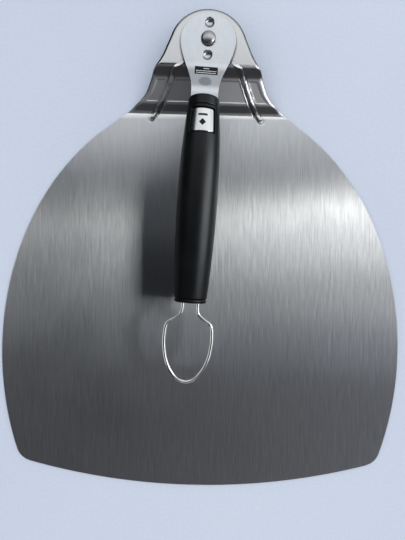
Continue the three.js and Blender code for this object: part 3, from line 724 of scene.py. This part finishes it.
class Tree:
    """A node tree with short ways to add and join nodes; an input may be a number, a tuple or an output."""

    def __init__(self, owner):
        owner.use_nodes = True
        self.nodes = owner.node_tree.nodes
        self.links = owner.node_tree.links
        self.nodes.clear()

    def feed(self, socket, source):
        if hasattr(source, "is_linked"):
            self.links.new(source, socket)
        elif source is not None:
            socket.default_value = source

    def add(self, kind, inputs=(), **settings):
        node = self.nodes.new(kind)
        for name, value in settings.items():
            setattr(node, name, value)
        for key, source in dict(inputs).items():
            self.feed(node.inputs[key], source)
        return node

    def math(self, operation, first, *others, clamp=False):
        """A math node, or a chain of them that takes the other values one by one."""
        for other in others or (None,):
            node = self.add("ShaderNodeMath", {0: first}, operation=operation, use_clamp=clamp)
            self.feed(node.inputs[1], other)
            first = node.outputs[0]
        return first

    def vector(self, operation, a, b):
        return self.add("ShaderNodeVectorMath", {0: a, 1: b}, operation=operation).outputs[0]

    def scaled(self, vector, factor):
        node = self.add("ShaderNodeVectorMath", {0: vector, "Scale": factor}, operation="SCALE")
        return node.outputs[0]

    def split(self, vector):
        return self.add("ShaderNodeSeparateXYZ", {0: vector}).outputs

    def noise(self, vector, scale, detail=2.0, roughness=0.5, stretch=None):
        if stretch:
            vector = self.vector("MULTIPLY", vector, stretch)
        inputs = {"Vector": vector, "Scale": scale, "Detail": detail, "Roughness": roughness}
        return self.add("ShaderNodeTexNoise", inputs).outputs["Fac"]

    def range(self, value, low, high, to_low, to_high, smooth=True):
        node = self.add("ShaderNodeMapRange", {0: value, 1: low, 2: high, 3: to_low, 4: to_high})
        node.interpolation_type = "SMOOTHSTEP" if smooth else "LINEAR"
        return node.outputs[0]

    def mix(self, factor, a, b):
        return self.add("ShaderNodeMix", data_type="RGBA", inputs={0: factor, 6: a, 7: b}).outputs[2]

    def point(self):
        """Coordinates in metres in the piece's own frame."""
        return self.add("ShaderNodeTexCoord").outputs["Object"]

    def local(self, place):
        """Coordinates in metres in the frame that place describes, moving with the piece."""
        back = place.inverted()
        inputs = {"Vector": self.point(), "Location": back.to_translation(), "Rotation": back.to_euler()}
        return self.add("ShaderNodeMapping", inputs).outputs[0]

    def across(self, turn):
        """The direction at an angle from the piece's X at rest, turned with the piece into the world."""
        node = self.add("ShaderNodeVectorTransform", {0: (math.cos(turn), math.sin(turn), 0.0)},
                        vector_type="VECTOR", convert_from="OBJECT", convert_to="WORLD")
        return node.outputs[0]

    def bump(self, height, distance, strength):
        inputs = {"Height": height, "Distance": distance, "Strength": strength}
        return self.add("ShaderNodeBump", inputs).outputs[0]

    def surface(self, **inputs):
        """The finished surface: base_color= feeds the shader's input Base Color, and so on."""
        named = {key.replace("_", " ").title().replace("Ior", "IOR"): inputs[key] for key in inputs}
        shader = self.add("ShaderNodeBsdfPrincipled", named)
        self.add("ShaderNodeOutputMaterial", {"Surface": shader.outputs[0]})


def new_tree(name):
    material = bpy.data.materials.new(name)
    return material, Tree(material)


def grey(level, tint=(1.0, 1.0, 1.0)):
    """A grey of a level from 0 to 1, slightly tinted."""
    return (level * tint[0], level * tint[1], level * tint[2], 1.0)


# ---- Materials; grain and marks are in cycles per metre ----

COOL = (0.97, 0.985, 1.0)
COOLER = (0.94, 0.975, 1.03)
GRAIN_TURN = math.radians(1.0)
LUSTRE_TURN = math.radians(3.5)
NECK_FADE = (-55 * MM, -51.5 * MM)
PLATFORM_FADE = (-20 * MM, -18 * MM)
BRUSH_MARKS, BRUSH_HAIRS, BRUSH_SCRATCHES = (900, 22, 900), (4800, 45, 4800), (9500, 60, 9500)
SATIN_MARKS = (1100, 70, 1100)
PRINT_BREAKS = (1400, 2500, 0)
PRINT_BARS = [(1.75, 2.4, 0.42), (-0.35, 8.2, 0.36), (-2.1, 7.9, 0.36)]
BADGE_LOZENGE = {"y": -2.0, "reach": 2.5}
BADGE_BAR = {"y": 3.8, "half_height": 0.7, "stretch": 4.4}


def blade_steel():
    """Brushed sheet with long marks along the blade, faint clouds and a few flecks. The pressed neck is
    smoother and lighter, with painted light on its panel, painted shade on its steep riser, a platform
    darker partly in its own tone and partly by painted shade, and painted shade in its corners."""
    material, t = new_tree("brushed_blade")
    local = t.local(BLADE_FRAME @ Matrix.Rotation(GRAIN_TURN, 4, "Z"))
    along = t.split(local)[1]
    neck = t.range(along, *NECK_FADE, 0.0, 1.0)
    platform = t.range(along, *PLATFORM_FADE, 0.0, 1.0)
    nearby = t.add("ShaderNodeAmbientOcclusion", {"Distance": 3 * MM}, samples=8).outputs["AO"]
    normal = t.add("ShaderNodeNewGeometry").outputs["Normal"]
    facing_x, facing_y, _ = t.split(normal)
    marks = t.noise(local, 1.0, 3.0, 0.65, BRUSH_MARKS)
    hairs = t.noise(local, 1.0, 2.0, 0.6, BRUSH_HAIRS)
    scratches = t.noise(local, 1.0, 1.0, 0.5, BRUSH_SCRATCHES)
    clouds = t.range(t.noise(local, 14.0, 3.0, 0.55), 0.35, 0.65, -0.02, 0.02)
    cells = t.add("ShaderNodeTexVoronoi", {"Vector": local, "Scale": 95.0, "Randomness": 1.0})
    flecks = t.range(cells.outputs["Distance"], 0.03, 0.07, 1.0, 0.0)
    rare = t.range(t.noise(local, 23.0, 1.0), 0.6, 0.68, 0.0, 0.7)
    # Painted shade: neck faces that lean towards the front, the steep riser most, are given a near-black
    # colour.
    riser = t.math("MULTIPLY", neck, t.range(facing_y, -0.72, -0.5, 0.85, 0.0))
    flank = t.math("MULTIPLY", neck, t.range(t.math("ABSOLUTE", facing_x), 0.12, 0.45, 0.0, 1.0))
    # Painted shade: the neck's steel is darkened where ambient occlusion finds a surface within 3 mm, in
    # its corners and creases and beside the plates.
    corner_shade = t.math("MULTIPLY", neck, t.range(nearby, 0.5, 0.9, 0.85, 0.0))

    tone = t.math("ADD", t.range(marks, 0.3, 0.7, -0.05, 0.05, False),
                  t.range(hairs, 0.3, 0.7, -0.05, 0.05, False), clouds)
    colour = t.mix(t.math("ADD", tone, 0.5, clamp=True), grey(0.40, COOL), grey(0.92, COOL))
    for share, over in ((t.math("MULTIPLY", flecks, rare), grey(0.95)),
                        # The neck loses most of its grain and is lighter: smoother pressed steel, and
                        # painted light lifting the panel that the plate shades.
                        (t.math("MULTIPLY", neck, 0.9), grey(0.97)),
                        # painted shade on the steep riser
                        (riser, grey(0.08, COOL)),
                        # The platform is darker, partly in its own tone and partly as painted shade of the
                        # plate above it.
                        (t.math("MULTIPLY", platform, 0.85), grey(0.38, COOL)),
                        # painted shade in the neck's corners and creases
                        (corner_shade, grey(0.03, COOL))):
        colour = t.mix(share, colour, over)

    smoother = t.math("MULTIPLY", neck, t.range(platform, 0.0, 1.0, -0.06, 0.13, False))
    rough = t.math("ADD", t.range(marks, 0.3, 0.7, 0.35, 0.38, False), clouds)
    rough = t.math("SUBTRACT", rough, smoother, t.math("MULTIPLY", flank, 0.1))
    tilt = t.math("MULTIPLY", t.math("SUBTRACT", scratches, 0.5), t.range(neck, 0.0, 1.0, 0.7, 0.1, False))
    across = t.across(LUSTRE_TURN)
    bent = t.vector("ADD", normal, t.scaled(across, tilt))
    bent = t.add("ShaderNodeVectorMath", {0: bent}, operation="NORMALIZE").outputs[0]
    t.surface(base_color=colour, metallic=1.0, roughness=rough, tangent=across, normal=bent,
              anisotropic=t.range(neck, 0.0, 1.0, 1.0, 0.2, False))
    return material


def plate_steel():
    """Fine satin plate with the round heat mark of the weld below the label."""
    material, t = new_tree("satin_plate")
    local = t.local(HANDLE_FRAME)
    marks = t.noise(local, 1.0, 3.0, 0.6, SATIN_MARKS)
    clouds = t.noise(local, 70.0, 3.0, 0.6)
    weld_size = (1 / (WELD_MARK["half_width"] * MM), 1 / (WELD_MARK["half_length"] * MM), 0.0)
    off = t.vector("SUBTRACT", local, (0.0, WELD_MARK["y"] * MM, 0.0))
    off = t.vector("MULTIPLY", off, weld_size)
    reach = t.add("ShaderNodeVectorMath", {0: off}, operation="LENGTH").outputs["Value"]
    edge = t.math("ADD", reach, t.range(clouds, 0.3, 0.7, -0.12, 0.12))
    weld = t.range(edge, 0.66, 1.15, 0.55, 0.0)
    level = t.math("ADD", t.range(marks, 0.3, 0.7, 0.35, 0.65, False),
                   t.range(clouds, 0.3, 0.7, -0.15, 0.15))
    colour = t.mix(level, grey(0.47, COOLER), grey(0.56, COOLER))
    colour = t.mix(weld, colour, (0.13, 0.14, 0.19, 1.0))
    rough = t.math("ADD", t.range(marks, 0.3, 0.7, 0.24, 0.34, False), t.range(weld, 0.0, 0.5, 0.0, 0.12))
    t.surface(base_color=colour, metallic=1.0, roughness=rough, anisotropic=0.7,
              tangent=t.across(HANDLE_SWING), normal=t.bump(marks, 0.00002, 0.5))
    return material


def polished(name, level, low, high, scale):
    """Bright metal with faint handling marks."""
    material, t = new_tree(name)
    local = t.point()
    marks = t.noise(local, scale, 4.0, 0.65)
    fine = t.noise(local, scale * 6, 2.0, 0.5)
    colour = t.mix(t.range(marks, 0.35, 0.7, 0.0, 1.0), grey(level, COOL), grey(level * 0.86, COOL))
    rough = t.math("ADD", t.math("MULTIPLY", marks, 0.6), t.math("MULTIPLY", fine, 0.4))
    t.surface(base_color=colour, metallic=1.0, roughness=t.range(rough, 0.35, 0.65, low, high),
              normal=t.bump(fine, 0.00001, 0.3))
    return material


def badge_chrome():
    """Bright plate with a plain etched lozenge and bar."""
    material, t = new_tree("badge_chrome")
    local = t.local(GRIP_FRAME)
    x, y, _ = t.split(local)
    middle = -(BADGE["start"] + BADGE["end"]) / 2
    off_x = t.math("ABSOLUTE", x)
    lozenge_y = t.math("ABSOLUTE", t.math("SUBTRACT", y, (middle + BADGE_LOZENGE["y"]) * MM))
    lozenge = t.math("ADD", off_x, lozenge_y)
    bar_y = t.math("ABSOLUTE", t.math("SUBTRACT", y, (middle + BADGE_BAR["y"]) * MM))
    bar = t.math("MAXIMUM", t.math("DIVIDE", off_x, BADGE_BAR["stretch"]), bar_y)
    reach, half_height = BADGE_LOZENGE["reach"], BADGE_BAR["half_height"]
    mark = t.math("MAXIMUM", t.range(lozenge, reach * MM, (reach + 0.4) * MM, 1.0, 0.0),
                  t.range(bar, half_height * MM, (half_height + 0.2) * MM, 1.0, 0.0))
    marks = t.noise(local, 300.0, 4.0, 0.65)
    colour = t.mix(mark, t.mix(marks, grey(0.52, COOL), grey(0.64, COOL)), grey(0.03))
    rough = t.math("ADD", t.range(marks, 0.35, 0.65, 0.18, 0.25), t.math("MULTIPLY", mark, 0.3))
    t.surface(base_color=colour, metallic=1.0, roughness=rough)
    return material


def moulded(name, colour_low, colour_high, rough_low, rough_high, gloss=0.5):
    """Moulded plastic with a fine spark-eroded grain and faint wear."""
    material, t = new_tree(name)
    local = t.point()
    fine = t.noise(local, 2400.0, 2.0, 0.6)
    wear = t.noise(local, 45.0, 4.0, 0.6)
    colour = t.mix(t.range(wear, 0.3, 0.7, 0.0, 1.0), colour_low, colour_high)
    rough = t.math("ADD", t.range(wear, 0.3, 0.7, rough_low, rough_high),
                   t.range(fine, 0.3, 0.7, -0.03, 0.03))
    t.surface(base_color=colour, roughness=rough, specular_ior_level=gloss,
              specular_tint=(0.88, 0.95, 1.0, 1.0), normal=t.bump(fine, 0.00002, 0.6))
    return material


def label_print():
    """Black printed patch with plain broken light bars in place of the print."""
    material, t = new_tree("printed_label")
    local = t.local(HANDLE_FRAME)
    x, y, _ = t.split(local)
    off_x = t.math("ABSOLUTE", x)
    bars = []
    for centre, half_length, half_height in PRINT_BARS:
        off_y = t.math("ABSOLUTE", t.math("SUBTRACT", y, (LABEL["y"] + centre) * MM))
        bars.append(t.math("MULTIPLY", t.range(off_x, (half_length - 0.2) * MM, half_length * MM, 1.0, 0.0),
                           t.range(off_y, (half_height - 0.15) * MM, half_height * MM, 1.0, 0.0)))
    broken = t.range(t.noise(local, 1.0, 1.0, stretch=PRINT_BREAKS), 0.42, 0.55, 0.35, 1.0)
    ink = t.math("MULTIPLY", t.math("MAXIMUM", *bars), broken)
    wear = t.noise(local, 300.0, 3.0)
    colour = t.mix(ink, t.mix(wear, grey(0.006), grey(0.02)), grey(0.85))
    t.surface(base_color=colour, roughness=t.range(wear, 0.3, 0.7, 0.35, 0.5), specular_ior_level=0.1,
              normal=t.bump(wear, 0.00001, 0.4))
    return material


# ---- Pieces on their bodies ----

def finish_piece(obj, material, body, slot, *nodes):
    """Gives a piece its material and its body, in place of the CAD nodes it stands for."""
    obj.data.materials.clear()
    obj.data.materials.append(material)
    if nodes:
        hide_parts(*nodes)
    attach(obj, body)


def build_object():
    """Makes every piece, and gives the two CAD nodes that stay their materials."""
    steel, plate = blade_steel(), plate_steel()
    chrome = polished("polished_steel", 0.66, 0.14, 0.24, 220.0)
    rivet = polished("rivet_steel", 0.45, 0.26, 0.34, 220.0)
    stamped = polished("plain_steel", 0.5, 0.3, 0.45, 150.0)
    black = moulded("black_nylon", grey(0.003, COOL), grey(0.005, COOL), 0.34, 0.39, 0.26)
    white = moulded("white_nylon", (0.78, 0.77, 0.72, 1), (0.83, 0.82, 0.78, 1), 0.4, 0.5)
    dark = moulded("grey_nylon", grey(0.1), grey(0.14), 0.5, 0.6)

    finish_piece(make_blade(), steel, ROOT, "brushed_blade", "blade")
    finish_piece(make_rivet(), rivet, ROOT, "polished_steel", "pivot_rivet")
    slip_ring = make_washer("slip_ring", "slip_washer", SLIP_RADIUS, WASHER_EDGE)
    backing_ring = make_washer("backing_ring", "backing_washer", BACKING_RADIUS, WASHER_EDGE)
    cone_washer = make_washer("cone_washer", "spring_washer", CONE_RADIUS, CONE_EDGE, CONE_SHEET)
    finish_piece(slip_ring, white, ROOT, "white_nylon", "slip_washer")
    finish_piece(backing_ring, stamped, ROOT, "plain_steel", "backing_washer")
    finish_piece(cone_washer, stamped, ROOT, "plain_steel", "spring_washer")

    top = make_plate("handle_plate", TOP_PLATE_TOP, TOP_PLATE_TOP_AT_GRIP, TOP_PLATE, TOP_TAIL, TOP_EDGE)
    tang = make_plate("handle_tang", TANG_BOTTOM + TANG_PLATE, TANG_TOP_AT_GRIP, TANG_PLATE, TANG_TAIL,
                      TANG_EDGE, TANG_HOLES)
    finish_piece(top, plate, SWUNG, "satin_plate", "top_plate")
    finish_piece(tang, plate, SWUNG, "satin_plate", "tang_plate")
    finish_piece(make_label(), label_print(), SWUNG, "satin_plate")

    finish_piece(make_collar(), black, SWUNG, "black_nylon", "grip_collar")
    finish_piece(make_shell(), black, SWUNG, "black_nylon", "grip_shell")
    finish_piece(make_cap(), black, SWUNG, "black_nylon", "end_cap")
    finish_piece(make_badge(), badge_chrome(), SWUNG, "badge_chrome", "badge")
    finish_piece(make_loop(), chrome, SWUNG, "polished_steel", "hang_loop")
    hidden = (("grip_screw", stamped, "plain_steel"), ("tang_support", dark, "grey_nylon"))
    for node, material, slot in hidden:
        piece = frame["nodes"][node]
        piece.data.materials.clear()
        piece.data.materials.append(material)


# ---- Floor, light and camera ----

FLOOR_DROP = 0.3 * MM
FLOOR_HALF = 6.0
EYE = Vector((-5.1, 67.5, 349.4)) * MM
EYE_ROLL, EYE_YAW = math.radians(1.26), math.radians(-0.78)
EYE_TURN = Matrix.Rotation(EYE_ROLL, 3, "Z") @ Matrix.Rotation(EYE_YAW, 3, "Y")
EYE_LENS, EYE_SENSOR = 27.0, 36.0

# What the steel mirrors. Places in the room are slopes: metres to the right of the middle line, or
# along the blade from below the eye, for each metre of height
BELOW_LEVEL, HORIZON_LEVEL = 0.04, 0.36
ROOM_TURN = (-0.28, -0.05)
ROOM_FRONT, ROOM_OVERHEAD, ROOM_LEFT = 0.08, 0.025, 0.1
WINDOW_HEIGHT = 1.5
WINDOW_SIDE, WINDOW_WIDTH = 0.98, 0.32
WARM, NEUTRAL, BLUE = (1.0, 0.99, 0.96), (0.96, 0.985, 1.0), (0.91, 0.96, 1.06)
WINDOW_PANES = [("pane_top", 0.24, 0.31, 26.0, WARM), ("pane_upper", 0.04, 0.24, 9.8, NEUTRAL),
                ("pane_middle", -0.15, 0.04, 4.6, NEUTRAL), ("pane_low", -0.32, -0.15, 2.2, BLUE),
                ("pane_front", -1.0, -0.32, 0.8, BLUE)]
SKYLIGHT = {"side": -0.72, "width": 0.4, "low": 0.09, "high": 0.17, "radiance": 0.5}
GRIP_STRIP = {"side": 2.1, "width": 1.1, "low": -0.2, "high": 0.8, "radiance": 8.0}
GRIP_PIECES = ("grip_cuff", "grip_sleeve", "grip_plug")
WIRE_PANES = [("ring_right", 3.0, 2.6, -2.0, 2.0, 2.0), ("ring_left", -3.0, 2.6, -2.0, 2.0, 1.3),
              ("ring_back", 0.0, 3.4, 1.7, 4.3, 1.6), ("ring_front", 0.0, 3.4, -4.3, -1.7, 1.3)]
FILL = {"place": (1.0, 0.6, 1.6), "size": (1.6, 1.6), "radiance": 0.8, "colour": (1.0, 0.99, 0.98)}


def make_floor():
    """The plain pale floor, which the steel doesn't mirror."""
    material, t = new_tree("pale_floor")
    local = t.point()
    wide = t.noise(local, 2.5, 2.0)
    fine = t.noise(local, 420.0, 2.0, 0.6)
    level = t.math("ADD", t.range(wide, 0.3, 0.7, 0.2, 0.8), t.range(fine, 0.3, 0.7, -0.2, 0.2))
    colour = t.mix(level, (0.60, 0.64, 0.73, 1), (0.67, 0.71, 0.79, 1))
    t.surface(base_color=colour, roughness=0.8, normal=t.bump(fine, 0.0001, 0.25))
    size = FLOOR_HALF / MM
    corners = [(-size, -size, 0), (size, -size, 0), (size, size, 0), (-size, size, 0)]
    floor = new_object("floor", corners, [(0, 1, 2, 3)], Matrix.Identity(4))
    floor.location.z = -FLOOR_DROP
    floor.visible_glossy = False
    floor.data.materials.append(material)


def make_world():
    """Soft studio surroundings: a bright wall beyond the swivel end, a dim room everywhere else, and a
    soft glow low down beyond the front, which views from behind mirror."""
    world = bpy.data.worlds.new("studio")
    bpy.context.scene.world = world
    t = Tree(world)
    x, y, z = t.split(t.add("ShaderNodeTexCoord").outputs["Generated"])
    up = t.math("MAXIMUM", z, 0.45)
    along, side = t.math("DIVIDE", y, up), t.math("DIVIDE", x, up)
    wall = t.math("ADD", t.range(along, 0.24, 0.35, 0.0, 0.95), t.range(along, 0.43, 0.53, 0.0, 0.55))
    wall = t.math("MULTIPLY", wall, t.range(along, 0.8, 1.3, 1.0, 0.5),
                  t.range(side, -1.38, -0.78, 0.0, 1.0), t.range(side, -0.3, 0.0, 0.85, 1.0))
    room = t.range(along, *ROOM_TURN, ROOM_FRONT, ROOM_OVERHEAD)
    room = t.math("MULTIPLY", room, t.range(side, -0.7, 0.7, ROOM_LEFT, 1.0),
                  t.range(z, 0.1, 0.6, 0.2, 1.0))
    horizon = t.math("MULTIPLY", t.range(z, 0.12, 0.24, 0.0, HORIZON_LEVEL),
                     t.range(z, 0.34, 0.48, 1.0, 0.0), t.range(y, -0.6, -0.2, 1.0, 0.0))
    above = t.range(z, -0.12, 0.06, 0.0, 1.0)
    level = t.math("MULTIPLY", t.math("ADD", wall, room, horizon), above)
    level = t.math("ADD", level, t.range(above, 0.0, 1.0, BELOW_LEVEL, 0.0, False))
    tint = t.mix(t.range(along, -0.25, -0.05, 0.0, 1.0), (0.97, 0.95, 1.02, 1), (0.68, 0.85, 1.08, 1))
    tint = t.mix(t.range(along, 0.25, 0.35, 0.0, 1.0), tint, (0.95, 0.975, 1.0, 1))
    glossy = t.add("ShaderNodeLightPath").outputs["Is Glossy Ray"]
    colour = t.mix(glossy, (0.80, 0.85, 0.92, 1), t.scaled(tint, level))
    background = t.add("ShaderNodeBackground", {"Color": colour, "Strength": 1.0})
    t.add("ShaderNodeOutputWorld", {"Surface": background.outputs[0]})


def area_light(name, place, target_y, size, radiance, colour, mirrored):
    """A soft light over the blade's middle line, seen by mirroring rays alone or by matt surfaces alone."""
    data = bpy.data.lights.new(name, "AREA")
    data.shape = "RECTANGLE"
    data.size, data.size_y = size
    data.energy = radiance * math.pi * size[0] * size[1]
    data.color = colour
    lamp = bpy.data.objects.new(name, data)
    bpy.context.scene.collection.objects.link(lamp)
    lamp.location = place
    towards = Vector((0.0, target_y, 0.0)) - Vector(place)
    lamp.rotation_euler = towards.to_track_quat("-Z", "X").to_euler()
    lamp.visible_glossy = mirrored
    lamp.visible_diffuse = not mirrored
    lamp.visible_camera = False
    return lamp


def mirrored_light(name, side, width, low, high, radiance, colour):
    """A soft pane overhead that only mirrors see, placed by its slopes from the point below the eye."""
    place = (side * WINDOW_HEIGHT, EYE.y + (low + high) / 2 * WINDOW_HEIGHT, WINDOW_HEIGHT)
    size = (width * WINDOW_HEIGHT, (high - low) * WINDOW_HEIGHT)
    return area_light(name, place, place[1], size, radiance, colour, True)


def only_for(lamp, *pieces):
    """Lets a light reach the named pieces alone."""
    lit = bpy.data.collections.new(lamp.name + "_receivers")
    for name in pieces:
        lit.objects.link(bpy.data.objects[name])
    lamp.light_linking.receiver_collection = lit


def make_lights():
    """A tall window to the right, a faint skylight, panes for the grip and the wire, and a matt fill."""
    for name, low, high, radiance, colour in WINDOW_PANES:
        mirrored_light(name, WINDOW_SIDE, WINDOW_WIDTH, low, high, radiance, colour)
    mirrored_light("skylight", **SKYLIGHT, colour=BLUE)
    only_for(mirrored_light("grip_strip", **GRIP_STRIP, colour=NEUTRAL), *GRIP_PIECES)
    for pane in WIRE_PANES:
        only_for(mirrored_light(*pane, WARM), "wire_loop")
    area_light("fill", target_y=EYE.y, mirrored=False, **FILL)


def make_camera():
    """A camera that stands where the photograph was taken from."""
    data = bpy.data.cameras.new("camera")
    data.lens = EYE_LENS
    data.sensor_width = EYE_SENSOR
    data.clip_start = 0.01
    camera = bpy.data.objects.new("camera", data)
    bpy.context.scene.collection.objects.link(camera)
    camera.matrix_world = Matrix.Translation(EYE) @ EYE_TURN.to_4x4()
    bpy.context.scene.camera = camera


build_object()
make_floor()
make_world()
make_lights()
make_camera()
bpy.context.scene.view_settings.view_transform = "Standard"
